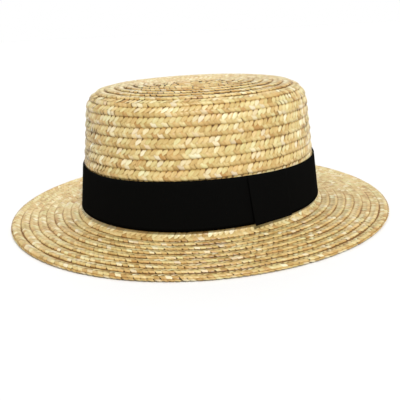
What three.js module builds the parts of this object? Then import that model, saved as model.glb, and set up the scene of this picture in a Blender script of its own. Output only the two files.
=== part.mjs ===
// A straw boater: a crown and a brim of sewn straw plait, with a plait bound round the brim's edge,
// a ribbon band round the crown's foot, and a flat ribbon tab that covers the band's join.
// Millimetres, +Z up. The wearer faces -Y, so the tab is on the wearer's left, at +X.
// The origin is on the surface that the brim rests on, under the middle of the head oval.
import * as THREE from "three";

// Driving dimensions.
const HEAD_HALF_WIDTH = 91; // outside of the crown at its foot, side to side
const HEAD_HALF_LENGTH = 101; // outside of the crown at its foot, front to back
const CORE_HALF_WIDTH = 5; // the small oval on which every ring of plait is centred
const FOOT = 9; // height of the crown's foot above the resting surface
const WALL_HEIGHT = 80.5; // from the foot up to where the shoulder starts
const WALL_LEAN = 9; // how far the wall leans in on each side over that height
const SHOULDER_RADIUS = 17; // between the wall and the tip
const TIP_MARGIN = 32; // width of the tip's sloping margin, inside the shoulder
const MARGIN_SLOPE = THREE.MathUtils.degToRad(8); // the margin's slope where it meets the shoulder
const TIP_ROWS = 10; // rows of plait from the tip's centre to the middle of the shoulder
const TIP_ROW_WIDTH = 8;
const WALL_ROWS = 12; // from there down to the joint with the brim
const JOINT_GAP = 0.3; // where the crown meets the brim, behind the band's lower edge
const WALL = 2.4; // sewn plait, from the crest of a row to its back
const ROW_RELIEF = 0.9; // each row's far edge stands this proud of the next row
const FILLET_TOP_UP = 0.8; // the brim starts this far above the foot and turns out
const FILLET_RADIUS = 4;
const BRIM_ROWS = 8;
const BRIM_WIDTH = 58.5; // from the crown's foot to the edge
const BRIM_DROP = 6.2; // from the foot down to the edge's upper side
const EDGE_WIDTH = 8; // the plait bound round the edge
const EDGE_REST_WIDTH = 5; // the flat under it that the hat rests on
const EDGE_ROUND = 0.8; // how far the edge's side bulges past its upper and lower corners
const EDGE_CROWN = 0.2; // how far the edge's middle stands above the brim's slope
const BAND_WIDTH = 36.5;
const BAND_UP = 1.5; // from the foot to the band's lower edge
const BAND_THICK = 1;
const PIECE_GAP = 0.3;
const TAB_WIDTH = 36;
const TAB_THICK = 1;
const TAB_ANGLE = THREE.MathUtils.degToRad(9.5); // of the tab's middle, from the wearer's left to the back
const TAB_LEAN = 3; // how far the tab's foot lies behind its head, along the band
const TAB_LIFT = 1.8; // how far its front lower corner stands off the band
const RING_STEPS = 44;
const TAB_STEPS = 10;

const CORE_HALF_LENGTH = CORE_HALF_WIDTH + HEAD_HALF_LENGTH - HEAD_HALF_WIDTH;

// The point of an oval ring whose outward normal points along angle. Every ring is parallel to the
// small core oval, as plait of one width makes it, and inside the core the rings shrink to a point.
function ovalPoint(angle, halfWidth, up) {
  const [c, s] = [Math.cos(angle), Math.sin(angle)];
  const reach = Math.hypot(CORE_HALF_WIDTH * c, CORE_HALF_LENGTH * s);
  const share = Math.min(1, halfWidth / CORE_HALF_WIDTH);
  const out = Math.max(0, halfWidth - CORE_HALF_WIDTH);
  return new THREE.Vector3(
    (share * CORE_HALF_WIDTH ** 2 * c) / reach + out * c,
    (share * CORE_HALF_LENGTH ** 2 * s) / reach + out * s,
    up,
  );
}

// How sharply such a ring bends where its outward normal points along angle.
function bendRadius(angle, halfWidth) {
  const reach = Math.hypot(CORE_HALF_WIDTH * Math.cos(angle), CORE_HALF_LENGTH * Math.sin(angle));
  return halfWidth - CORE_HALF_WIDTH + (CORE_HALF_WIDTH * CORE_HALF_LENGTH) ** 2 / reach ** 3;
}

// Half the width of the crown's outside at a height above its foot.
function wallHalfWidth(up) {
  return HEAD_HALF_WIDTH - (WALL_LEAN * up) / WALL_HEIGHT;
}

// The upper side of the brim past the fillet, at a distance out from the crown's foot.
function brimTop(out) {
  const start = FILLET_TOP_UP - FILLET_RADIUS;
  const share = (out - FILLET_RADIUS) / (BRIM_WIDTH - FILLET_RADIUS);
  return FOOT + THREE.MathUtils.lerp(start, -BRIM_DROP, share);
}

// The crown's outer side in section, as a path of (half width, height) from the tip's centre,
// over the margin and the shoulder, and down the wall to the joint.
function crownPath() {
  const lean = Math.atan2(WALL_LEAN, WALL_HEIGHT);
  const centreOut = wallHalfWidth(WALL_HEIGHT) - SHOULDER_RADIUS * Math.cos(lean);
  const centreUp = FOOT + WALL_HEIGHT - SHOULDER_RADIUS * Math.sin(lean);
  const rimOut = centreOut + SHOULDER_RADIUS * Math.sin(MARGIN_SLOPE);
  const rimUp = centreUp + SHOULDER_RADIUS * Math.cos(MARGIN_SLOPE);
  const topUp = rimUp + (TIP_MARGIN / 2) * Math.tan(MARGIN_SLOPE);
  const path = new THREE.Path();
  path.moveTo(0, topUp);
  path.lineTo(rimOut - TIP_MARGIN, topUp);
  path.quadraticCurveTo(rimOut - TIP_MARGIN / 2, topUp, rimOut, rimUp);
  path.absarc(centreOut, centreUp, SHOULDER_RADIUS, Math.PI / 2 - MARGIN_SLOPE, lean, true);
  const jointUp = FILLET_TOP_UP + JOINT_GAP;
  path.lineTo(wallHalfWidth(jointUp), FOOT + jointUp);
  return path;
}

// The brim's upper side in section, from the joint round the fillet and out.
function brimPath() {
  const filletOut = HEAD_HALF_WIDTH + FILLET_RADIUS;
  const plainEnd = BRIM_WIDTH - EDGE_WIDTH - PIECE_GAP;
  const path = new THREE.Path();
  path.absarc(filletOut, FOOT + FILLET_TOP_UP, FILLET_RADIUS, Math.PI, 1.5 * Math.PI, false);
  path.lineTo(HEAD_HALF_WIDTH + plainEnd, brimTop(plainEnd));
  return path;
}

// A point of a path moved along the path's normal. The paths run out and down, so their left is out.
function offsetPoint(path, share, outward) {
  const point = path.getPointAt(share);
  const tangent = path.getTangentAt(share);
  return new THREE.Vector2(point.x - tangent.y * outward, point.y + tangent.x * outward);
}

// Where the seams between rows lie, as shares of a path's length, both of its ends included.
function evenSeams(from, rows) {
  return Array.from({ length: rows + 1 }, (_, row) => THREE.MathUtils.lerp(from, 1, row / rows));
}

function crownSeams(path) {
  const tipShare = (TIP_ROWS * TIP_ROW_WIDTH) / path.getLength();
  const tipSeams = Array.from({ length: TIP_ROWS }, (_, row) => (row / TIP_ROWS) * tipShare);
  return [...tipSeams, ...evenSeams(tipShare, WALL_ROWS)];
}

// A section of sewn plait, clockwise with out to the right. On the outer side each row rises to its
// far edge and steps down to the next row; the back is smooth.
function plaitSection(path, seams) {
  const outside = [];
  for (let row = 0; row < seams.length - 1; row++) {
    outside.push(offsetPoint(path, seams[row], -ROW_RELIEF));
    outside.push(offsetPoint(path, seams[row + 1], 0));
  }
  const inside = seams.map((seam) => offsetPoint(path, seam, -WALL));
  return [...outside, ...inside.reverse()];
}

// A quad as two triangles, less one where two of its corners meet on the axis.
function addQuad(corners, a, b, c, d) {
  for (const [p, q, r] of [
    [a, b, c],
    [a, c, d],
  ]) {
    if (!p.equals(q) && !q.equals(r) && !r.equals(p)) {
      corners.push(p, q, r);
    }
  }
}

function geometryOf(corners) {
  return new THREE.BufferGeometry().setFromPoints(corners);
}

// A solid swept round the oval. A closed section makes a ring, and an open one that starts and ends
// on the axis makes a cap. The section runs clockwise, with out to the right and up above.
function sweptRound(section, closed) {
  const corners = [];
  const last = closed ? section.length : section.length - 1;
  for (let step = 0; step < RING_STEPS; step++) {
    const here = (2 * Math.PI * step) / RING_STEPS;
    const next = (2 * Math.PI * ((step + 1) % RING_STEPS)) / RING_STEPS;
    for (let i = 0; i < last; i++) {
      const p = section[i];
      const q = section[(i + 1) % section.length];
      addQuad(
        corners,
        ovalPoint(here, p.x, p.y),
        ovalPoint(here, q.x, q.y),
        ovalPoint(next, q.x, q.y),
        ovalPoint(next, p.x, p.y),
      );
    }
  }
  return geometryOf(corners);
}

// The tip is closed at its centre, so the crown's section starts and ends on the axis.
function crownGeometry() {
  const path = crownPath();
  const section = plaitSection(path, crownSeams(path));
  section[0].x = 0;
  section[section.length - 1].x = 0;
  return sweptRound(section, false);
}

function brimGeometry() {
  return sweptRound(plaitSection(brimPath(), evenSeams(0, BRIM_ROWS)), true);
}

// The doubled plait round the edge: a rounded upper side, and a flat foot that the hat rests on.
function edgeGeometry() {
  const inner = BRIM_WIDTH - EDGE_WIDTH;
  const middle = BRIM_WIDTH - EDGE_WIDTH / 2;
  const foot = BRIM_WIDTH - EDGE_REST_WIDTH;
  const section = [
    { out: inner, up: brimTop(inner) - WALL },
    { out: inner, up: brimTop(inner) - ROW_RELIEF },
    { out: middle, up: brimTop(middle) + EDGE_CROWN },
    { out: BRIM_WIDTH - EDGE_ROUND, up: brimTop(BRIM_WIDTH) },
    { out: BRIM_WIDTH, up: brimTop(BRIM_WIDTH) / 2 },
    { out: BRIM_WIDTH - EDGE_ROUND, up: 0 },
    { out: foot, up: 0 },
  ].map(({ out, up }) => new THREE.Vector2(HEAD_HALF_WIDTH + out, up));
  return sweptRound(section, true);
}

function bandGeometry() {
  const [low, high] = [BAND_UP, BAND_UP + BAND_WIDTH];
  const section = [
    new THREE.Vector2(wallHalfWidth(low) + PIECE_GAP, FOOT + low),
    new THREE.Vector2(wallHalfWidth(high) + PIECE_GAP, FOOT + high),
    new THREE.Vector2(wallHalfWidth(high) + PIECE_GAP + BAND_THICK, FOOT + high),
    new THREE.Vector2(wallHalfWidth(low) + PIECE_GAP + BAND_THICK, FOOT + low),
  ];
  return sweptRound(section, true);
}

// The tab's section, a flat channel that hooks over both edges of the band. Each point has its
// distance out from the crown's wall and its height above the foot.
function tabSection() {
  const back = 2 * PIECE_GAP + BAND_THICK;
  const front = back + TAB_THICK;
  const [low, high] = [BAND_UP - PIECE_GAP, BAND_UP + BAND_WIDTH + PIECE_GAP];
  return [
    { out: front, up: low - TAB_THICK },
    { out: back - BAND_THICK, up: low - TAB_THICK },
    { out: back - BAND_THICK, up: low },
    { out: back, up: low },
    { out: back, up: high },
    { out: back - BAND_THICK, up: high },
    { out: back - BAND_THICK, up: high + TAB_THICK },
    { out: front, up: high + TAB_THICK },
  ];
}

// Where a point of the tab's section lies, at a share of the tab's width counted from its front edge.
// The tab leans, and its front lower corner stands off the band.
function tabPoint(share, { out, up }) {
  const below = 1 - (up - BAND_UP) / BAND_WIDTH;
  const along = (share - 0.5) * TAB_WIDTH + (below - 0.5) * TAB_LEAN;
  const lift = TAB_LIFT * (1 - share) ** 3 * THREE.MathUtils.clamp(below, 0, 1);
  const angle = TAB_ANGLE + along / bendRadius(TAB_ANGLE, HEAD_HALF_WIDTH);
  return ovalPoint(angle, wallHalfWidth(up) + out + lift, FOOT + up);
}

function tabGeometry() {
  const section = tabSection();
  const corners = [];
  for (let step = 0; step < TAB_STEPS; step++) {
    const [here, next] = [step / TAB_STEPS, (step + 1) / TAB_STEPS];
    section.forEach((p, i) => {
      const q = section[(i + 1) % section.length];
      addQuad(corners, tabPoint(here, p), tabPoint(here, q), tabPoint(next, q), tabPoint(next, p));
    });
  }
  const outline = section.map(({ out, up }) => new THREE.Vector2(out, up));
  for (const [a, b, c] of THREE.ShapeUtils.triangulateShape(outline, [])) {
    corners.push(tabPoint(0, section[a]), tabPoint(0, section[b]), tabPoint(0, section[c]));
    corners.push(tabPoint(1, section[a]), tabPoint(1, section[c]), tabPoint(1, section[b]));
  }
  return geometryOf(corners);
}

const straw = new THREE.MeshStandardMaterial({ color: 0xe0c48c, roughness: 0.55, metalness: 0 });
const edgeStraw = new THREE.MeshStandardMaterial({ color: 0xe6cc94, roughness: 0.5, metalness: 0 });
const ribbon = new THREE.MeshStandardMaterial({ color: 0x0c0c0d, roughness: 0.85, metalness: 0 });

function piece(name, geometry, material) {
  geometry.computeVertexNormals();
  const mesh = new THREE.Mesh(geometry, material);
  mesh.name = name;
  return mesh;
}

const strawBody = new THREE.Group();
strawBody.add(
  piece("crown", crownGeometry(), straw),
  piece("brim", brimGeometry(), straw),
  piece("brim_edge", edgeGeometry(), edgeStraw),
);

const trimming = new THREE.Group();
trimming.add(piece("hat_band", bandGeometry(), ribbon), piece("band_tab", tabGeometry(), ribbon));

const boater = new THREE.Group();
boater.add(strawBody, trimming);

export default boater;
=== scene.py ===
"""A straw boater of sewn wheat-straw plait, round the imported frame. Every straw is a small mesh."""

import math
from typing import NamedTuple

import bpy
import numpy as np
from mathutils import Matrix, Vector


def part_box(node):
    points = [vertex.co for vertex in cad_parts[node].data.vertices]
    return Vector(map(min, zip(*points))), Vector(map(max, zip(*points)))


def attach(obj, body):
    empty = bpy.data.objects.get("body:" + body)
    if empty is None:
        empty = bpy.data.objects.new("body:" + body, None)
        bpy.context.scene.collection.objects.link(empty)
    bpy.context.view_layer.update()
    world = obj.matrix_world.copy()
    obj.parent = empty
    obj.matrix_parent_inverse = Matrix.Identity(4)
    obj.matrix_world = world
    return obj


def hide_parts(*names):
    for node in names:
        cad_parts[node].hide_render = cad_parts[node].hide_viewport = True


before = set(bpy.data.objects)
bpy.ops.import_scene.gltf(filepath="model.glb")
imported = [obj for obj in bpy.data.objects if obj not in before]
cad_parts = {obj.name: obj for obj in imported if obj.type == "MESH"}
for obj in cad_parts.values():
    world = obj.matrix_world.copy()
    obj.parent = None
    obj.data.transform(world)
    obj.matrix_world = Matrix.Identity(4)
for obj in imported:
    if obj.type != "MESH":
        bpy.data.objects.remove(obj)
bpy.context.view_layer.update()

MM = 0.001
TURN = 2 * math.pi

# ---------------------------------------------------------------- sizes, in millimetres
# The frame gives where things are; the rest are the section's driving sizes.
edge_high = np.array(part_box("brim_edge")[1]) / MM
band_low, band_high = [np.array(corner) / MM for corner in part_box("hat_band")]

BRIM_WIDTH = 58.5
BRIM_DROP = 6.2
WALL_HEIGHT = 80.5
WALL_LEAN = 9.0
SHOULDER_RADIUS = 17.0
TIP_MARGIN = 32.0
MARGIN_SLOPE = math.radians(8)
FILLET_TOP_UP = 0.8
FILLET_RADIUS = 4.0
CORE_HALF_WIDTH = 5.0
EDGE_WIDTH = 8.0
BAND_UP = 1.5
BACK = 2.0  # from the crests on the outer side to the backs of the straws inside

HEAD_HALF_WIDTH = edge_high[0] - BRIM_WIDTH
HEAD_HALF_LENGTH = edge_high[1] - BRIM_WIDTH
CORE_HALF_LENGTH = CORE_HALF_WIDTH + HEAD_HALF_LENGTH - HEAD_HALF_WIDTH
FOOT = band_low[2] - BAND_UP
BAND_WIDTH = band_high[2] - band_low[2]

# Plait
TIP_ROW_WIDTH = 8.0
TIP_ROWS = 10
WALL_ROW_WIDTH = 7.6
BRIM_ROWS = 8
LEAST_RADIUS = 6.0  # straws bend round no tighter than this
LEAST_PLACE = 0.02  # no straw crosses the crown's middle


# ---------------------------------------------------------------- the oval and the sections
def oval(angle, half_width):
    """Points of the ring whose outward normal points along angle, parallel to the small core oval."""
    c, s = np.cos(angle), np.sin(angle)
    reach = np.hypot(CORE_HALF_WIDTH * c, CORE_HALF_LENGTH * s)
    share = np.clip(half_width / CORE_HALF_WIDTH, 0, 1)
    out = np.maximum(0, half_width - CORE_HALF_WIDTH)
    x = share * CORE_HALF_WIDTH**2 * c / reach + out * c
    y = share * CORE_HALF_LENGTH**2 * s / reach + out * s
    return x, y


def bend_radius(angle, half_width):
    """How sharply the ring bends at angle."""
    reach = np.hypot(CORE_HALF_WIDTH * np.cos(angle), CORE_HALF_LENGTH * np.sin(angle))
    share = np.clip(half_width / CORE_HALF_WIDTH, 0, 1)
    out = np.maximum(0, half_width - CORE_HALF_WIDTH)
    return out + share * (CORE_HALF_WIDTH * CORE_HALF_LENGTH) ** 2 / reach**3


class Section:
    """A line of (half width, height), read by its length from its first point."""

    def __init__(self, points):
        self.points = np.array(points)
        steps = np.hypot(*np.diff(self.points, axis=0).T)
        self.along = np.concatenate([[0], np.cumsum(steps)])
        self.length = self.along[-1]
        self.slope = np.gradient(self.points, self.along, axis=0)
        self.slope /= np.hypot(*self.slope.T)[:, None]

    def at(self, s):
        """Half width, height, and the outward normal's two parts. Past its ends it runs on straight."""
        inside = np.clip(s, 0, self.length)
        past = s - inside
        half, up = [np.interp(inside, self.along, self.points[:, i]) for i in (0, 1)]
        slope_out, slope_up = [np.interp(inside, self.along, self.slope[:, i]) for i in (0, 1)]
        return half + past * slope_out, up + past * slope_up, -slope_up, slope_out


def arc(centre, radius, start, end, count=60):
    angles = np.linspace(start, end, count)
    return [(centre[0] + radius * math.cos(a), centre[1] + radius * math.sin(a)) for a in angles]


def wall_half_width(up):
    return HEAD_HALF_WIDTH - WALL_LEAN * up / WALL_HEIGHT


def crown_section():
    lean = math.atan2(WALL_LEAN, WALL_HEIGHT)
    centre_out = wall_half_width(WALL_HEIGHT) - SHOULDER_RADIUS * math.cos(lean)
    centre_up = FOOT + WALL_HEIGHT - SHOULDER_RADIUS * math.sin(lean)
    rim_out = centre_out + SHOULDER_RADIUS * math.sin(MARGIN_SLOPE)
    rim_up = centre_up + SHOULDER_RADIUS * math.cos(MARGIN_SLOPE)
    rise = TIP_MARGIN / 2 * math.tan(MARGIN_SLOPE)
    flat = rim_out - TIP_MARGIN
    points = [(x, rim_up + rise) for x in np.linspace(0, flat, 30)]
    for share in np.linspace(0, 1, 40)[1:]:
        points.append((flat + TIP_MARGIN * share, rim_up + rise * (1 - share**2)))
    points += arc((centre_out, centre_up), SHOULDER_RADIUS, math.pi / 2 - MARGIN_SLOPE, lean)[1:]
    points += [(wall_half_width(up), FOOT + up) for up in np.linspace(WALL_HEIGHT, 0, 60)[1:]]
    return Section(points)


def brim_top(out):
    start = FILLET_TOP_UP - FILLET_RADIUS
    share = (out - FILLET_RADIUS) / (BRIM_WIDTH - FILLET_RADIUS)
    return FOOT + start + (-BRIM_DROP - start) * share


def brim_section():
    centre = (HEAD_HALF_WIDTH + FILLET_RADIUS, FOOT + FILLET_TOP_UP)
    points = arc(centre, FILLET_RADIUS, math.pi, 1.5 * math.pi, 40)
    for out in np.linspace(FILLET_RADIUS, BRIM_WIDTH, 60)[1:]:
        points.append((HEAD_HALF_WIDTH + out, brim_top(out)))
    return Section(points)


CROWN = crown_section()
BRIM = brim_section()


def place(section, angle, s, height):
    """World points, in mm, at a place on a section, raised along the section's normal."""
    half, up, normal_out, normal_up = section.at(s)
    x, y = oval(angle, half + height * normal_out)
    return np.stack([x, y, up + height * normal_up], axis=-1)


# ---------------------------------------------------------------- meshes
def smooth_step(low, high, value):
    t = np.clip((value - low) / (high - low), 0, 1)
    return t * t * (3 - 2 * t)


def make_object(name, vertices, faces, material, nodes, uv=None, bake_uv=None, colour=None):
    mesh = bpy.data.meshes.new(name)
    mesh.vertices.add(len(vertices))
    mesh.vertices.foreach_set("co", (vertices * MM).astype(np.float32).ravel())
    mesh.loops.add(faces.size)
    mesh.loops.foreach_set("vertex_index", faces.astype(np.int32).ravel())
    mesh.polygons.add(len(faces))
    corners = faces.shape[1]
    mesh.polygons.foreach_set("loop_start", np.arange(0, faces.size, corners, dtype=np.int32))
    mesh.polygons.foreach_set("use_smooth", np.ones(len(faces), dtype=bool))
    for layer_name, values in (("straw", uv), ("OFBake", bake_uv)):
        if values is not None:
            layer = mesh.uv_layers.new(name=layer_name)
            layer.data.foreach_set("uv", values[faces.ravel()].astype(np.float32).ravel())
    if colour is not None:
        # The tint's fourth value is painted crease shade.
        attribute = mesh.attributes.new("tint_and_painted_shade", "FLOAT_COLOR", "POINT")
        attribute.data.foreach_set("color", colour.astype(np.float32).ravel())
    mesh.update()
    mesh.validate()
    piece = bpy.data.objects.new(name, mesh)
    bpy.context.scene.collection.objects.link(piece)
    mesh.materials.append(material)
    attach(piece, "root")
    if nodes:
        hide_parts(*nodes)
    return piece


# ---------------------------------------------------------------- plait
def row_radius(section, angle, s):
    """How sharply a row bends at a place on a section, kept from going to nothing in the middle."""
    half = section.at(np.maximum(s, 1.0))[0]
    return np.maximum(bend_radius(angle, half), LEAST_RADIUS)


class Row:
    """One run of plait. It is followed by its turn; its angle on the hat is start + way * turn."""

    def __init__(self, section, inner, outer, turns, start=0.0, way=1):
        self.section = section
        self.inner = inner
        self.outer = outer
        self.start = start
        self.way = way
        self.turns = turns
        middle = (inner(turns) + outer(turns)) / 2
        radius = row_radius(section, self.angle(turns), middle)
        steps = (radius[1:] + radius[:-1]) / 2 * np.diff(turns)
        self.along = np.concatenate([[0], np.cumsum(steps)])
        self.length = self.along[-1]

    def angle(self, turn):
        return self.start + self.way * turn

    def turn_at(self, along):
        return np.interp(along, self.along, self.turns)


STRAW_PITCH = 4.1  # between neighbouring straws of one side of a row
LEAN = math.tan(math.radians(31))  # how far a straw runs along the row for each mm across it
MIDDLE = 0.52  # where the two sides of a row meet, as a share of its width
INNER_TIP = 0.67  # how far the inner side's pointed ends reach over the outer side
INNER_FULL = 0.30  # from here inward they are at full width
OUTER_ROOT = 0.34  # where the outer side's straws start, under the inner side's
OUTER_SHIFT = 0.22  # of a pitch, so that their gaps meet the inner side's points
EDGE_FOLD = 0.80  # how far the outer side's ends fold down at the row's edge
INNER_WIDE = 1.12  # a straw's width as a share of the pitch
OUTER_WIDE = 1.10
OUTER_DOME = 0.7  # of the inner side's
POINT_WIDTH = 0.10  # of the inner side's pointed ends, as a share of a straw's width
POINT_DROP = 0.22  # how far those ends bend down
ROOT_DROP = 0.50  # how far the outer side's straws start below the inner side's
END_TAPER = 0.40  # how much the outer side's folded ends narrow
EDGE_SINK = 0.15  # how far the row's far edge lies in
DOME_POWER = 2.2  # how square a straw's cross-section is
ROW_WAVE = 0.35  # how far a seam strays from its line
GAPING = 0.35  # how much a row's step varies along it


class Weave(NamedTuple):
    """How a run of plait is worked."""

    relief: float  # mm, the step from a row's far edge down to the next row
    seam: float  # painted shade darkening the seams, where a row runs under the next one's edge, up to 1
    painted_flank_shade: float  # painted shade darkening the lines between neighbouring straws, up to 1
    dome: float  # mm, how far a straw's flanks fall from its crest
    uneven: float  # how much single straws differ in height and tilt, up to 1
    spike: float  # how much the inner ends narrow under the seam, as a share of a straw's width
    pale: float  # how often a straw is pale


WALL_WEAVE = Weave(
    relief=0.90,
    seam=0.66,
    painted_flank_shade=0.60,
    dome=0.30,
    uneven=1.0,
    spike=0.42,
    pale=0.95,
)
FLAT_WEAVE = Weave(
    relief=1.20,
    seam=1.05,
    painted_flank_shade=0.32,
    dome=0.26,
    uneven=0.25,
    spike=0.20,
    pale=0.50,
)


def slow_noise(along, wavelength, seed):
    """Smooth noise along a row, about -1 to 1."""
    rng = np.random.default_rng(seed)
    value = np.zeros_like(along)
    for octave in range(3):
        phase = rng.uniform(0, TURN, 2)
        scale = wavelength / (1.7**octave)
        value += np.sin(TURN * along / scale + phase[0]) * 0.6**octave
        value += 0.5 * np.sin(TURN * along / (scale * 1.37) + phase[1]) * 0.6**octave
    return value / 2.2


def unit_grid(cells):
    """The straw's own coordinates: b across it from -1 to 1, a along it from the middle to the edge."""
    across, lengthwise = cells
    even = np.linspace(-1, 1, across)
    b = (np.sign(even) * np.abs(even) ** 0.7)[:, None] * np.ones(lengthwise)[None, :]
    a = np.ones(across)[:, None] * np.linspace(0, 1, lengthwise)[None, :]
    return b, a


def per_straw(rng, count, spread, kind="uniform"):
    if kind == "uniform":
        values = rng.uniform(-spread, spread, count)
    else:
        values = rng.normal(0, spread, count)
    return values[:, None, None]


def inner_body(v, a, b, start, half, lean, weave):
    """How far along the row and how high the inner side's straws lie. They end in points."""
    point = np.clip((start - v) / (start - INNER_FULL), 0, 1)
    taper = POINT_WIDTH + (1 - POINT_WIDTH) * point**0.85
    taper = taper - weave.spike * (1 - smooth_step(-0.04, 0.26, v))
    x = lean * (MIDDLE - v) + b[None] * half * taper
    dome = -weave.dome * taper * np.abs(b[None]) ** DOME_POWER
    return x, dome - POINT_DROP * (1 - smooth_step(0, 0.16, a))[None]


def outer_body(v, b, half, lean, weave):
    """The same for the outer side's straws: they come from under the inner ones and fold down."""
    taper = 1 - END_TAPER * smooth_step(0.82, 1.0, v) ** 1.5
    x = lean * (v - MIDDLE) + b[None] * half * taper
    under = -ROOT_DROP * (1 - smooth_step(0.38, 0.68, v))
    fold = -EDGE_FOLD * smooth_step(0.80, 1.0, v) ** 2
    dome = -OUTER_DOME * weave.dome * np.abs(b[None]) ** DOME_POWER
    return x, dome + under + fold


def shingle_drop(v, along, seed, weave):
    """How far a row lies under the next one's edge, which gapes here and there along it."""
    gape = GAPING * slow_noise(along, 60, seed + 17)[:, None, None]
    drop = -weave.relief * (1 + gape) * (1 - smooth_step(-0.12, 0.70, v))
    return drop - EDGE_SINK * smooth_step(0.75, 1.02, v)


def plait_straws(row, seed, cells, weave=FLAT_WEAVE, tuck=0.14, skip=None):
    """Vertices and tints, with painted crease shade, of the straws seen on one run of plait.

    The inner side's straws end in points over the outer side's, whose ends fold down at the row's edge.
    """
    rng = np.random.default_rng(seed)
    b, a = unit_grid(cells)
    result = []
    colours_with_painted_shade = []
    count = max(3, int(round(row.length / STRAW_PITCH)))
    step = row.length / count
    for side, wide in ((0, INNER_WIDE), (1, OUTER_WIDE)):
        index = np.arange(count)
        along = (index + 0.5 + OUTER_SHIFT * side + rng.uniform(-0.09, 0.09, count)) * step
        along = np.clip(along, 0, row.length)
        if skip is not None:
            keep = ~skip(row.turn_at(along), side)
            index, along = index[keep], along[keep]
        n = len(along)
        if n == 0:
            continue
        turn = row.turn_at(along)
        wave = ROW_WAVE * slow_noise(along, 70, seed + 11)[:, None, None]
        inner = row.inner(turn)[:, None, None]
        width = (row.outer(turn) - row.inner(turn))[:, None, None]
        if side == 0:
            start, end = INNER_TIP + per_straw(rng, n, 0.04), -tuck + per_straw(rng, n, 0.03)
        else:
            start, end = OUTER_ROOT + per_straw(rng, n, 0.02), 1.0 + per_straw(rng, n, 0.03)
        v = start + (end - start) * a[None]
        lean = (LEAN + per_straw(rng, n, 0.10)) * width
        tilt = per_straw(rng, n, 0.15 * weave.uneven, "normal") * b[None]
        lift = per_straw(rng, n, 0.06 * weave.uneven, "normal")
        lift = lift + per_straw(rng, n, 0.15 * weave.uneven, "normal") * (a[None] - 0.5)
        half = 0.5 * step * wide * (1 + per_straw(rng, n, 0.07))
        if side == 0:
            x, body = inner_body(v, a, b, start, half, lean, weave)
            painted_shade = inner_painted_shade(v, a, b, weave)
        else:
            x, body = outer_body(v, b, half, lean, weave)
            painted_shade = outer_painted_shade(v, b, weave)
        h = shingle_drop(v, along, seed, weave) + body + tilt + lift
        s = np.maximum(inner + v * width + wave, LEAST_PLACE)
        angle0 = row.angle(turn)[:, None, None]
        radius = row_radius(row.section, angle0, s)
        result.append(place(row.section, angle0 + x / radius, s, h))
        tints = straw_tints(along, index, side, seed, rng, weave)
        colours_with_painted_shade.append(tints_with_painted_shade(tints, b.shape, painted_shade))
    return np.concatenate(result), np.concatenate(colours_with_painted_shade)


def inner_painted_shade(v, a, b, weave):
    """Painted shade on an inner straw, from 0 to 1: darker at its flanks, at its point, and under the
    previous row's edge.
    """
    painted_flank_shade = np.abs(b) ** 5 * 0.60 * weave.painted_flank_shade
    point = 0.5 * weave.painted_flank_shade * (1 - smooth_step(0.0, 0.12, a))
    painted_shadow_under_row = weave.seam * (1 - smooth_step(-0.02, 0.13, v))
    return np.clip(np.maximum(np.maximum(painted_flank_shade, point)[None], painted_shadow_under_row), 0, 1)


def outer_painted_shade(v, b, weave):
    # Painted shade on an outer straw, from 0 to 1: darker at its flanks, at its root under the inner
    # straws, and where its end folds down at the row's edge.
    painted_flank_shade = np.abs(b[None]) ** 4 * 0.55 * weave.painted_flank_shade
    root = 0.75 * weave.painted_flank_shade * (1 - smooth_step(0.42, 0.64, v))
    fold = weave.seam * smooth_step(0.90, 1.0, v)
    return np.clip(np.maximum(np.maximum(painted_flank_shade, root), fold), 0, 1)


def straw_painted_shade(a, b):
    """Painted shade for a straw seen from behind or on the rim: darker at its flanks, near its start
    and where its end folds.
    """
    painted_flank_shade = np.abs(b) ** 5 * 0.6
    under = 1 - smooth_step(0.04, 0.25, a)
    fold = smooth_step(0.85, 1.0, a)
    return np.clip(np.maximum(np.maximum(painted_flank_shade, under), fold), 0, 1)


def straw_tints(along, index, side, seed, rng, weave):
    """One colour a straw: a slow drift along the row, each of the plait's strands, and its own; the
    outer side's straws are made darker as painted shade.
    """
    drift = slow_noise(along, 46, seed + 31 + side)
    strand_count = 7
    strands = np.random.default_rng(seed // 3 + 7).normal(0, 1, (64, strand_count))
    strand = strands[(index // 16) % 64, (index + 3 * side) % strand_count]
    own = rng.normal(0, 1, len(along))
    # Painted shade: straws on a row's outer side (side 1) are made darker, as that half of the row lies
    # in shade.
    value = 0.34 * drift + 0.26 * strand + 0.36 * own - 0.40 * side
    warm = 0.5 * slow_noise(along, 90, seed + 51) + 0.6 * rng.normal(0, 1, len(along))
    pale_run = slow_noise(along, 24, seed + 71) > 0.45
    chance = weave.pale * np.where(pale_run, 0.62, 0.07)
    pale = (rng.uniform(0, 1, len(along)) < chance) * rng.uniform(0.4, 1.0, len(along))
    return np.stack([value, warm, pale, np.ones_like(value)], axis=-1)


def tints_with_painted_shade(tints, grid_shape, painted_shade):
    """Each straw's colour at every point of its grid, with the painted crease shade as the fourth
    value.
    """
    points = np.repeat(tints, math.prod(grid_shape), axis=0).reshape(len(tints), *grid_shape, 4)
    points[..., 3] = painted_shade
    return points


def grid_faces(count, across, lengthwise):
    base = np.arange(across * lengthwise).reshape(across, lengthwise)
    corners = [base[:-1, :-1], base[1:, :-1], base[1:, 1:], base[:-1, 1:]]
    quad = np.stack(corners, axis=-1).reshape(-1, 4)
    offset = (np.arange(count) * across * lengthwise)[:, None, None]
    return (quad[None] + offset).reshape(-1, 4)


BAKE_MARGIN = 0.06


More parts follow.
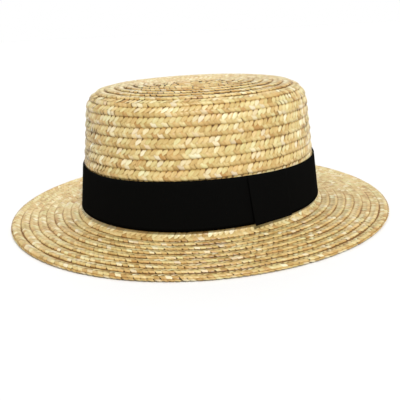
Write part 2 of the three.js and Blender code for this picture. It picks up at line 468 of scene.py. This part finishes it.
def straw_object(name, straws, tints, cells, material, nodes=()):
    across, lengthwise = cells
    count = len(straws)
    vertices = straws.reshape(-1, 3)
    side_a = np.linspace(0, 1, across)[:, None] * np.ones(lengthwise)[None, :]
    side_b = np.ones(across)[:, None] * np.linspace(0, 1, lengthwise)[None, :]
    local = np.stack([side_a, side_b], axis=-1).reshape(1, -1, 2)
    own = np.arange(count)
    jitter = np.stack([own * 1.37 % 17, own * 2.11 % 23], axis=-1)[:, None, :]
    uv = (local + jitter).reshape(-1, 2)
    columns = int(math.ceil(math.sqrt(count)))
    cell = np.stack([own % columns, own // columns], axis=-1)[:, None, :]
    bake = ((cell + BAKE_MARGIN + local * (1 - 2 * BAKE_MARGIN)) / columns).reshape(-1, 2)
    faces = grid_faces(count, across, lengthwise)
    return make_object(name, vertices, faces, material, nodes, uv, bake, tints.reshape(-1, 4))


# ---------------------------------------------------------------- materials
STRAW_STOPS = (
    (0.00, (0.40, 0.240, 0.085)),
    (0.24, (0.51, 0.350, 0.150)),
    (0.45, (0.59, 0.450, 0.215)),
    (0.62, (0.64, 0.525, 0.285)),
    (0.80, (0.69, 0.615, 0.385)),
    (1.00, (0.75, 0.710, 0.510)),
)
# Painted shade: how far the straw colour is darkened in creases, seams and folds, by the fourth value
# of each straw's tint.
PAINTED_CREASE_SHADE_STOPS = (
    (0.0, (1.0, 1.0, 1.0)),
    (0.5, (0.82, 0.70, 0.50)),
    (1.0, (0.42, 0.27, 0.145)),
)
HUE_STOPS = (
    (0.0, (0.95, 1.02, 0.90)),
    (1.0, (1.04, 0.97, 0.88)),
)
# Painted shadow: the dark brown of the shell seen through the gaps between straws.
PAINTED_SHADOW_CORE_STOPS = (
    (0.0, (0.16, 0.075, 0.018)),
    (1.0, (0.30, 0.15, 0.045)),
)
RIBBON_STOPS = (
    (0.0, (0.0006, 0.0006, 0.0006)),
    (1.0, (0.0030, 0.0030, 0.0027)),
)
PALE_STRAW = (0.86, 0.83, 0.66, 1)


def node_material(name):
    material = bpy.data.materials.new(name)
    material.use_nodes = True
    tree = material.node_tree
    return material, tree, tree.nodes["Principled BSDF"]


def ramp_node(tree, stops):
    ramp = tree.nodes.new("ShaderNodeValToRGB")
    while len(ramp.color_ramp.elements) < len(stops):
        ramp.color_ramp.elements.new(0.5)
    for element, (position, colour) in zip(ramp.color_ramp.elements, stops):
        element.position = position
        element.color = (*colour, 1)
    return ramp


def math_node(tree, operation, first, second, third=None):
    """A Math node fed by sockets or numbers. Gives its result socket."""
    node = tree.nodes.new("ShaderNodeMath")
    node.operation = operation
    for socket, value in zip(node.inputs, (first, second, third)):
        if value is None:
            continue
        if isinstance(value, (int, float)):
            socket.default_value = value
        else:
            tree.links.new(value, socket)
    return node.outputs[0]


def mix_node(tree, factor, first, second, blend="MIX"):
    node = tree.nodes.new("ShaderNodeMix")
    node.data_type = "RGBA"
    node.blend_type = blend
    for name, value in (("Factor", factor), ("A", first), ("B", second)):
        sockets = [socket for socket in node.inputs if socket.name == name and socket.enabled]
        if isinstance(value, (int, float, tuple)):
            sockets[0].default_value = value
        else:
            tree.links.new(value, sockets[0])
    return [socket for socket in node.outputs if socket.enabled][0]


def fibre_noise(tree, across_scale, along_scale, detail):
    coordinate = tree.nodes.new("ShaderNodeUVMap")
    coordinate.uv_map = "straw"
    mapping = tree.nodes.new("ShaderNodeMapping")
    mapping.inputs["Scale"].default_value = (across_scale, along_scale, 1.0)
    tree.links.new(coordinate.outputs["UV"], mapping.inputs["Vector"])
    noise = tree.nodes.new("ShaderNodeTexNoise")
    noise.inputs["Scale"].default_value = 1.0
    noise.inputs["Detail"].default_value = detail
    noise.inputs["Roughness"].default_value = 0.6
    tree.links.new(mapping.outputs["Vector"], noise.inputs["Vector"])
    return noise.outputs["Fac"]


def straw_material(name="straw"):
    material, tree, shader = node_material(name)
    tint_and_painted_shade = tree.nodes.new("ShaderNodeAttribute")
    tint_and_painted_shade.attribute_name = "tint_and_painted_shade"
    split = tree.nodes.new("ShaderNodeSeparateColor")
    tree.links.new(tint_and_painted_shade.outputs["Color"], split.inputs["Color"])
    fibre = fibre_noise(tree, 5.5, 0.9, 4.0)
    blotch = fibre_noise(tree, 1.6, 1.1, 2.0)
    value = math_node(tree, "MULTIPLY_ADD", split.outputs["Red"], 0.36, 0.5)
    grain = math_node(tree, "MULTIPLY_ADD", fibre, 0.70, -0.35)
    patch = math_node(tree, "MULTIPLY_ADD", blotch, 0.30, -0.15)
    value = math_node(tree, "ADD", math_node(tree, "ADD", value, grain), patch)
    ramp = ramp_node(tree, STRAW_STOPS)
    tree.links.new(value, ramp.inputs["Fac"])
    warm = math_node(tree, "MULTIPLY_ADD", split.outputs["Green"], 0.38, 0.5)
    hue = ramp_node(tree, HUE_STOPS)
    tree.links.new(warm, hue.inputs["Fac"])
    colour = mix_node(tree, 1.0, ramp.outputs["Color"], hue.outputs["Color"], "MULTIPLY")
    pale = math_node(tree, "MULTIPLY", split.outputs["Blue"], 0.5)
    colour = mix_node(tree, pale, colour, PALE_STRAW)
    # Painted shade: darken the straw colour by the crease shade held in the tint's fourth value.
    painted_crease_shade = ramp_node(tree, PAINTED_CREASE_SHADE_STOPS)
    tree.links.new(tint_and_painted_shade.outputs["Alpha"], painted_crease_shade.inputs["Fac"])
    colour = mix_node(tree, 1.0, colour, painted_crease_shade.outputs["Color"], "MULTIPLY")
    tree.links.new(colour, shader.inputs["Base Color"])
    bump = tree.nodes.new("ShaderNodeBump")
    bump.inputs["Strength"].default_value = 0.3
    bump.inputs["Distance"].default_value = 0.0002
    tree.links.new(fibre, bump.inputs["Height"])
    tree.links.new(bump.outputs["Normal"], shader.inputs["Normal"])
    shader.inputs["Roughness"].default_value = 0.32
    shader.inputs["Specular IOR Level"].default_value = 0.28
    return material


# A dark brown material, painted shadow for the gaps between straws.
def shadow_core_material():
    material, tree, shader = node_material("straw_shadow")
    coordinate = tree.nodes.new("ShaderNodeTexCoord")
    noise = tree.nodes.new("ShaderNodeTexNoise")
    noise.inputs["Scale"].default_value = 420.0
    noise.inputs["Detail"].default_value = 3.0
    tree.links.new(coordinate.outputs["Object"], noise.inputs["Vector"])
    ramp = ramp_node(tree, PAINTED_SHADOW_CORE_STOPS)
    tree.links.new(noise.outputs["Fac"], ramp.inputs["Fac"])
    tree.links.new(ramp.outputs["Color"], shader.inputs["Base Color"])
    shader.inputs["Roughness"].default_value = 0.7
    return material


def ribbon_material():
    material, tree, shader = node_material("grosgrain")
    noise = fibre_noise(tree, 6.0, 360.0, 3.0)
    ramp = ramp_node(tree, RIBBON_STOPS)
    tree.links.new(noise, ramp.inputs["Fac"])
    tree.links.new(ramp.outputs["Color"], shader.inputs["Base Color"])
    shader.inputs["Roughness"].default_value = 0.9
    shader.inputs["Specular IOR Level"].default_value = 0.035
    return material


# ---------------------------------------------------------------- crown
SPIRAL_START = 0.25  # moves all the crown's seams down its section
SPIRAL_ANGLE = math.radians(-20)  # where the last turn on the tip hands over to the wall's width
FIRST_TURN = 0.15  # the spiral starts this many turns from its centre
RIBBON_LAP = 3.5  # how far the wall's straws run on under the ribbon
SPIRAL_OVERRUN = 14.0  # how far below the ribbon's top the spiral is worked out


def crown_inner(turn):
    """The crown's one spiral of plait: where its inner edge lies, by total turn from the centre."""
    rows = turn / TURN
    on_tip = np.minimum(rows, TIP_ROWS) * TIP_ROW_WIDTH
    on_wall = np.maximum(rows - TIP_ROWS, 0) * WALL_ROW_WIDTH
    return on_tip + on_wall - TIP_ROW_WIDTH + SPIRAL_START


def crown_outer(turn):
    return crown_inner(turn + TURN)


def crown_row(first, last):
    turns = np.linspace(first * TURN, last * TURN, 4000)
    return Row(CROWN, crown_inner, crown_outer, turns, SPIRAL_ANGLE, -1)


def crown_rows(straw):
    tip_cells = (5, 9)
    straws, tints = plait_straws(crown_row(FIRST_TURN, TIP_ROWS), 100, tip_cells)
    straw_object("tip_plait", straws, tints, tip_cells, straw, ("crown",))
    lean = math.atan2(WALL_LEAN, WALL_HEIGHT)
    ribbon_top = CROWN.length - (BAND_UP + BAND_WIDTH) / math.cos(lean)
    def under_ribbon(turn, side):
        return crown_inner(turn) + side * WALL_ROW_WIDTH / 2 > ribbon_top + RIBBON_LAP

    last = TIP_ROWS + (ribbon_top + SPIRAL_OVERRUN - TIP_ROWS * TIP_ROW_WIDTH) / WALL_ROW_WIDTH
    wall_cells = (7, 8)
    wall_row = crown_row(TIP_ROWS, last)
    straws, tints = plait_straws(wall_row, 200, wall_cells, WALL_WEAVE, skip=under_ribbon)
    straw_object("wall_plait", straws, tints, wall_cells, straw, ("crown",))


# ---------------------------------------------------------------- brim
def ring_row(section, start, width, samples=1441):
    turns = np.linspace(0, TURN, samples)

    def inner(turn):
        return np.full_like(turn, start)

    def outer(turn):
        return np.full_like(turn, start + width)

    return Row(section, inner, outer, turns)


def joined_rows(section, end, count, seed, cells, maker):
    width = end / count
    made = [maker(ring_row(section, n * width, width), seed + 7 * n, cells) for n in range(count)]
    return np.concatenate([m[0] for m in made]), np.concatenate([m[1] for m in made])


def brim_rows(straw):
    cells = (5, 9)
    straws, tints = joined_rows(BRIM, BRIM.length - EDGE_WIDTH, BRIM_ROWS, 300, cells, plait_straws)
    straw_object("brim_plait", straws, tints, cells, straw, ("brim",))


def ring_grid(points_of, columns, rows):
    """A tube swept round the hat: points_of(u, v) gives mm points, with u and v going once round."""
    u = np.arange(columns) / columns
    v = np.arange(rows) / rows
    uu, vv = np.meshgrid(u, v, indexing="ij")
    vertices = points_of(uu, vv).reshape(-1, 3)
    i = np.arange(columns)[:, None]
    j = np.arange(rows)[None, :]
    i_next = (i + 1) % columns
    j_next = (j + 1) % rows
    corners = (i * rows + j, i_next * rows + j, i_next * rows + j_next, i * rows + j_next)
    quads = np.stack(np.broadcast_arrays(*corners), axis=-1)
    return vertices, quads.reshape(-1, 4), np.stack([uu, vv], axis=-1).reshape(-1, 2)


CORE_TOP = -1.45
CORE_UNDER = -1.75


def shadow_core_shell(material):
    """The plait's inside: a shell between the outer straws and the inner ones, coloured dark brown as
    painted shadow seen through the gaps.
    """
    for name, section, node, end in (
        ("crown_shadow_core", CROWN, "crown", CROWN.length - 1.0),
        ("brim_shadow_core", BRIM, "brim", BRIM.length - 5.0),
    ):

        def points(u, v):
            level = np.where(v < 0.5, 2 * v, 2 - 2 * v)
            height = np.where(v < 0.5, CORE_TOP, CORE_UNDER)
            return place(section, u * TURN, 0.05 + level * (end - 0.05), height)

        vertices, faces, uv = ring_grid(points, 180, 120)
        make_object(name, vertices, faces, material, (node,), uv)


def edge_section():
    inner = BRIM_WIDTH - EDGE_WIDTH - 0.8
    radius = brim_top(BRIM_WIDTH) / 2
    line = [(HEAD_HALF_WIDTH + inner, brim_top(inner) - WALL_WEAVE.relief)]
    for share in np.linspace(0.10, 1, 16):
        out = inner + (BRIM_WIDTH - radius - inner) * share
        swell = 0.35 * math.sin(math.pi * share**0.7) - 0.75 * (1 - share) ** 4
        line.append((HEAD_HALF_WIDTH + out, brim_top(out) + swell - 0.15))
    centre = (HEAD_HALF_WIDTH + BRIM_WIDTH - radius, radius)
    line += arc(centre, radius - 0.1, math.pi / 2, -math.pi / 2, 16)[1:]
    line.append((HEAD_HALF_WIDTH + BRIM_WIDTH - 6.0, 0.1))
    return Section(line)


EDGE_ROW = 8.4  # of the edge's section, from its inner side over the top to where the rim bends
RIM_PITCH = 4.3
RIM_SLANT = 5.0


def rim_straws(section, cells, seed):
    """The folded straws seen round the outer rim, slanting down and under."""
    rng = np.random.default_rng(seed)
    angles = np.linspace(0, TURN, 1441)
    radius_at = bend_radius(angles, section.at(np.array([EDGE_ROW]))[0])
    steps = (radius_at[1:] + radius_at[:-1]) / 2 * np.diff(angles)
    along = np.concatenate([[0], np.cumsum(steps)])
    count = int(round(along[-1] / RIM_PITCH))
    step = along[-1] / count
    where = (np.arange(count) + 0.5 + rng.uniform(-0.1, 0.1, count)) * step
    angle0 = np.interp(where, along, angles)[:, None, None]
    b, a = unit_grid(cells)
    first = EDGE_ROW - 1.1
    s = first + a[None] * (section.length - first) + per_straw(rng, count, 0.2)
    half = 0.5 * step * 1.14 * (1 + per_straw(rng, count, 0.08))
    taper = 1 - 0.45 * (1 - smooth_step(0.0, 0.22, a)) - 0.3 * smooth_step(0.8, 1.0, a)
    x = (RIM_SLANT + per_straw(rng, count, 0.5)) * a[None] + b[None] * half * taper[None]
    tilt = (0.12 + per_straw(rng, count, 0.08, "normal")) * b[None]
    h = -0.15 - 0.50 * np.abs(b[None]) ** 2.3 + tilt - 0.7 * (1 - smooth_step(0.0, 0.20, a))[None]
    radius = bend_radius(angle0, section.at(s)[0])
    straws = place(section, angle0 + x / radius, s, h)
    tints = straw_tints(where, np.arange(count), 1, seed, rng, WALL_WEAVE)
    return straws, tints_with_painted_shade(tints, b.shape, straw_painted_shade(a * 0.8, b)[None])


def edge_piece(straw):
    """The brim's last row: plait on top, and its straws folded round the rim and under."""
    cells = (5, 8)
    section = edge_section()
    row = ring_row(section, 0.3, EDGE_ROW - 0.3)
    top, top_tints = plait_straws(row, 900, cells, FLAT_WEAVE, tuck=0.02)
    rim, rim_tints = rim_straws(section, cells, 930)
    straws = np.concatenate([top, rim])
    straws[..., 2] = np.maximum(straws[..., 2], 0.02)
    tints = np.concatenate([top_tints, rim_tints])
    straw_object("edge_plait", straws, tints, cells, straw, ("brim_edge",))


BACK_LEAN = 2.6


def back_straws(row, seed, cells):
    """The same rows from behind, seen inside the crown and under the brim."""
    rng = np.random.default_rng(seed)
    b, a = unit_grid(cells)
    count = max(3, int(round(row.length / STRAW_PITCH)))
    step = row.length / count
    result, colours_with_painted_shade = [], []
    for side in (0, 1):
        along = np.clip((np.arange(count) + 0.5 + 0.5 * side) * step, 0, row.length)
        turn = row.turn_at(along)
        start = 0.5 + (0.10 if side == 0 else -0.10)
        end = -0.02 if side == 0 else 1.12
        v = (start + (end - start) * a)[None] * np.ones((count, 1, 1))
        half = 0.5 * step * 1.12
        reach = np.abs(v - 0.5) * 2
        x = BACK_LEAN * reach + b[None] * half * (1 - 0.4 * (1 - smooth_step(0, 0.3, a)))[None]
        shingle = 0.45 * smooth_step(0.4, 1.1, v)
        h = -BACK - 0.35 + 0.40 * np.abs(b[None]) ** 2 + shingle
        h = h + per_straw(rng, count, 0.04, "normal")
        width = (row.outer(turn) - row.inner(turn))[:, None, None]
        s = np.maximum(row.inner(turn)[:, None, None] + v * width, LEAST_PLACE)
        angle0 = row.angle(turn)[:, None, None]
        radius = row_radius(row.section, angle0, s)
        points = place(row.section, angle0 + (x - BACK_LEAN / 2) / radius, s, h)
        tints = straw_tints(along, np.arange(count), side, seed, rng, WALL_WEAVE)
        result.append(points[:, ::-1])
        colours_with_painted_shade.append(tints_with_painted_shade(tints, b.shape, straw_painted_shade(a, b)[None]))
    return np.concatenate(result), np.concatenate(colours_with_painted_shade)


def under_rows(straw):
    cells = (5, 4)
    groups = (
        ("crown_inside", CROWN, CROWN.length - 0.5, 23, ("crown",)),
        ("brim_underside", BRIM, BRIM.length - 5.0, 9, ("brim",)),
    )
    for name, section, end, count, nodes in groups:
        straws, tints = joined_rows(section, end, count, 500, cells, back_straws)
        straw_object(name, straws, tints, cells, straw, nodes)


# ---------------------------------------------------------------- ribbon
BAND_RIBS = 620
RIB_DEPTH = 0.09
RIBBON_THICK = 0.55
BAND_OFF = 0.55  # from the wall's crests to the ribbon's back
BAND_TURN = math.radians(-17)  # where the ribbon's top edge is highest
TAB_GAP = 0.35  # from the ribbon's front to the tab's back


def band_top(angle):
    """How far the ribbon's top edge is pulled down at angle: it isn't quite level."""
    turn = angle - BAND_TURN
    return -1.0 + 1.0 * np.cos(turn) - 0.8 * np.sin(2 * turn) ** 2


def ribbon_band(material):
    columns = BAND_RIBS * 4
    rows = 28

    def points(u, v):
        front = v < 0.5
        level = np.where(front, 2 * v, 2 - 2 * v) * (rows / (rows - 1))
        level = np.clip(level, 0, 1)
        angle = u * TURN
        up = BAND_UP + (BAND_WIDTH + band_top(angle)) * level
        rib = RIB_DEPTH * np.cos(u * TURN * BAND_RIBS)
        edge = np.minimum(level, 1 - level) * BAND_WIDTH
        selvedge = 0.12 * np.exp(-((edge / 0.7) ** 2))
        out = BAND_OFF + np.where(front, RIBBON_THICK + rib + selvedge, 0.0)
        x, y = oval(angle, wall_half_width(up) + out)
        return np.stack([x, y, FOOT + up], axis=-1)

    vertices, faces, uv = ring_grid(points, columns, rows)
    uv[:, 0] *= 12.0
    band = make_object("ribbon_band", vertices, faces, material, ("hat_band",), uv)


TAB_WIDTH = 36.0
TAB_LEAN = 3.0
TAB_LIFT = 1.9
TAB_ANGLE = math.radians(9.5)
TAB_RIBS = 38


def ribbon_tab(material):
    radius = float(bend_radius(TAB_ANGLE, HEAD_HALF_WIDTH))
    columns, rows = TAB_RIBS * 4 + 1, 60
    low, high = BAND_UP - 0.35, BAND_UP + BAND_WIDTH - 0.4
    u = np.linspace(0, 1, columns)
    v = np.arange(rows) / rows
    uu, vv = np.meshgrid(u, v, indexing="ij")
    front = vv < 0.5
    level = np.where(front, 2 * vv, 2 - 2 * vv)
    up = low + (high - low) * level
    below = 1 - level
    along = (uu - 0.5) * TAB_WIDTH + (below - 0.5) * TAB_LEAN
    rise = TAB_LIFT * np.clip(1 - uu * 2.2, 0, 1) ** 1.6 * (0.25 + 0.75 * below)
    rib = 0.08 * np.cos(uu * TURN * TAB_RIBS)
    round_edge = np.clip(np.minimum(uu, 1 - uu) * TAB_WIDTH / 0.6, 0, 1)
    thick = 0.15 + (RIBBON_THICK - 0.15) * np.sqrt(1 - (1 - round_edge) ** 2)
    out = BAND_OFF + RIBBON_THICK + TAB_GAP + rise + np.where(front, thick + rib * round_edge, 0)
    x, y = oval(TAB_ANGLE + along / radius, wall_half_width(up) + out)
    vertices = np.stack([x, y, FOOT + up], axis=-1).reshape(-1, 3)
    i = np.arange(columns - 1)[:, None]
    j = np.arange(rows)[None, :]
    j_next = (j + 1) % rows
    corners = (i * rows + j, (i + 1) * rows + j, (i + 1) * rows + j_next, i * rows + j_next)
    faces = np.stack(np.broadcast_arrays(*corners), axis=-1).reshape(-1, 4)
    rung = np.arange(rows // 2)
    near_cap = np.stack([rung + 1, rung, (rows - rung) % rows, rows - rung - 1], axis=-1)
    near_cap = near_cap[1:-1]
    far_cap = near_cap[:, ::-1] + (columns - 1) * rows
    faces = np.concatenate([faces, near_cap, far_cap])
    uv = np.stack([uu * 1.2, vv], axis=-1).reshape(-1, 2)
    tab = make_object("ribbon_tab", vertices, faces, material, ("band_tab",), uv)


# ---------------------------------------------------------------- stage, light and camera
FLOOR_COLOUR = (0.75, 0.75, 0.75, 1)
HORIZON_TOP = 0.08  # up to this height of the sky it is as bright as the horizon
SKY_FROM = 0.30  # from here up it has the sky's own light
HORIZON_LIGHT = 1.0
SKY_LIGHT = 0.58
FLOOR_SIZE = 8.0
FLOOR_UP = -0.0003


def stage():
    bpy.ops.mesh.primitive_plane_add(size=FLOOR_SIZE, location=(0, 0, FLOOR_UP))
    floor = bpy.context.object
    floor.name = "floor"
    material, _, shader = node_material("floor")
    shader.inputs["Base Color"].default_value = FLOOR_COLOUR
    shader.inputs["Roughness"].default_value = 1.0
    shader.inputs["Specular IOR Level"].default_value = 0.0
    floor.data.materials.append(material)
    world = bpy.data.worlds.new("studio")
    bpy.context.scene.world = world
    world.use_nodes = True
    tree = world.node_tree
    background = tree.nodes["Background"]
    background.inputs["Color"].default_value = (1, 1, 1, 1)
    direction = tree.nodes.new("ShaderNodeTexCoord")
    height = tree.nodes.new("ShaderNodeSeparateXYZ")
    tree.links.new(direction.outputs["Generated"], height.inputs[0])
    strength = tree.nodes.new("ShaderNodeMapRange")
    for name, value in (
        ("From Min", HORIZON_TOP),
        ("From Max", SKY_FROM),
        ("To Min", HORIZON_LIGHT),
        ("To Max", SKY_LIGHT),
    ):
        strength.inputs[name].default_value = value
    tree.links.new(height.outputs["Z"], strength.inputs["Value"])
    tree.links.new(strength.outputs["Result"], background.inputs["Strength"])
    bpy.context.scene.view_settings.view_transform = "Standard"


def sun(name, azimuth, elevation, strength, softness):
    data = bpy.data.lights.new(name, "SUN")
    data.energy = strength
    data.angle = math.radians(softness)
    light = bpy.data.objects.new(name, data)
    bpy.context.scene.collection.objects.link(light)
    a, e = math.radians(azimuth), math.radians(elevation)
    toward = Vector((math.sin(a) * math.cos(e), -math.cos(a) * math.cos(e), math.sin(e)))
    light.rotation_euler = toward.to_track_quat("Z", "Y").to_euler()


VIEW_AZIMUTH = 68  # degrees
CAMERA_AZIMUTH = math.radians(VIEW_AZIMUTH)
CAMERA_ELEVATION = math.radians(15.2)
CAMERA_ROLL = math.radians(2.3)
CAMERA_DISTANCE = 0.491
TARGET_UP = 22.8  # mm above the crown's foot
FOCAL_SHARE = 1.42675  # focal length as a share of the sensor's width
FRAME_SHIFT = -0.08
SENSOR = 36.0


def camera_axes():
    a, e = CAMERA_AZIMUTH, CAMERA_ELEVATION
    back = Vector((math.sin(a) * math.cos(e), -math.cos(a) * math.cos(e), math.sin(e)))
    right = Vector((math.cos(a), math.sin(a), 0))
    return right, back.cross(right), back


def camera():
    data = bpy.data.cameras.new("camera")
    data.sensor_width = SENSOR
    data.lens = FOCAL_SHARE * SENSOR
    data.shift_y = FRAME_SHIFT
    cam = bpy.data.objects.new("camera", data)
    bpy.context.scene.collection.objects.link(cam)
    right, up, back = camera_axes()
    turn_right = right * math.cos(CAMERA_ROLL) - up * math.sin(CAMERA_ROLL)
    turn_up = right * math.sin(CAMERA_ROLL) + up * math.cos(CAMERA_ROLL)
    matrix = cam.matrix_world.to_3x3()
    matrix.col[0], matrix.col[1], matrix.col[2] = turn_right, turn_up, back
    cam.rotation_euler = matrix.to_euler()
    cam.location = Vector((0, 0, (FOOT + TARGET_UP) * MM)) + back * CAMERA_DISTANCE
    bpy.context.scene.camera = cam


def lights():
    sun("front", VIEW_AZIMUTH + 20, 54, 2.85, 9)
    sun("behind", VIEW_AZIMUTH + 182, 40, 0.35, 34)


camera()
straw = straw_material()
crown_rows(straw)
brim_rows(straw)
edge_piece(straw)
under_rows(straw)
shadow_core_shell(shadow_core_material())
ribbon = ribbon_material()
ribbon_band(ribbon)
ribbon_tab(ribbon)
stage()
lights()
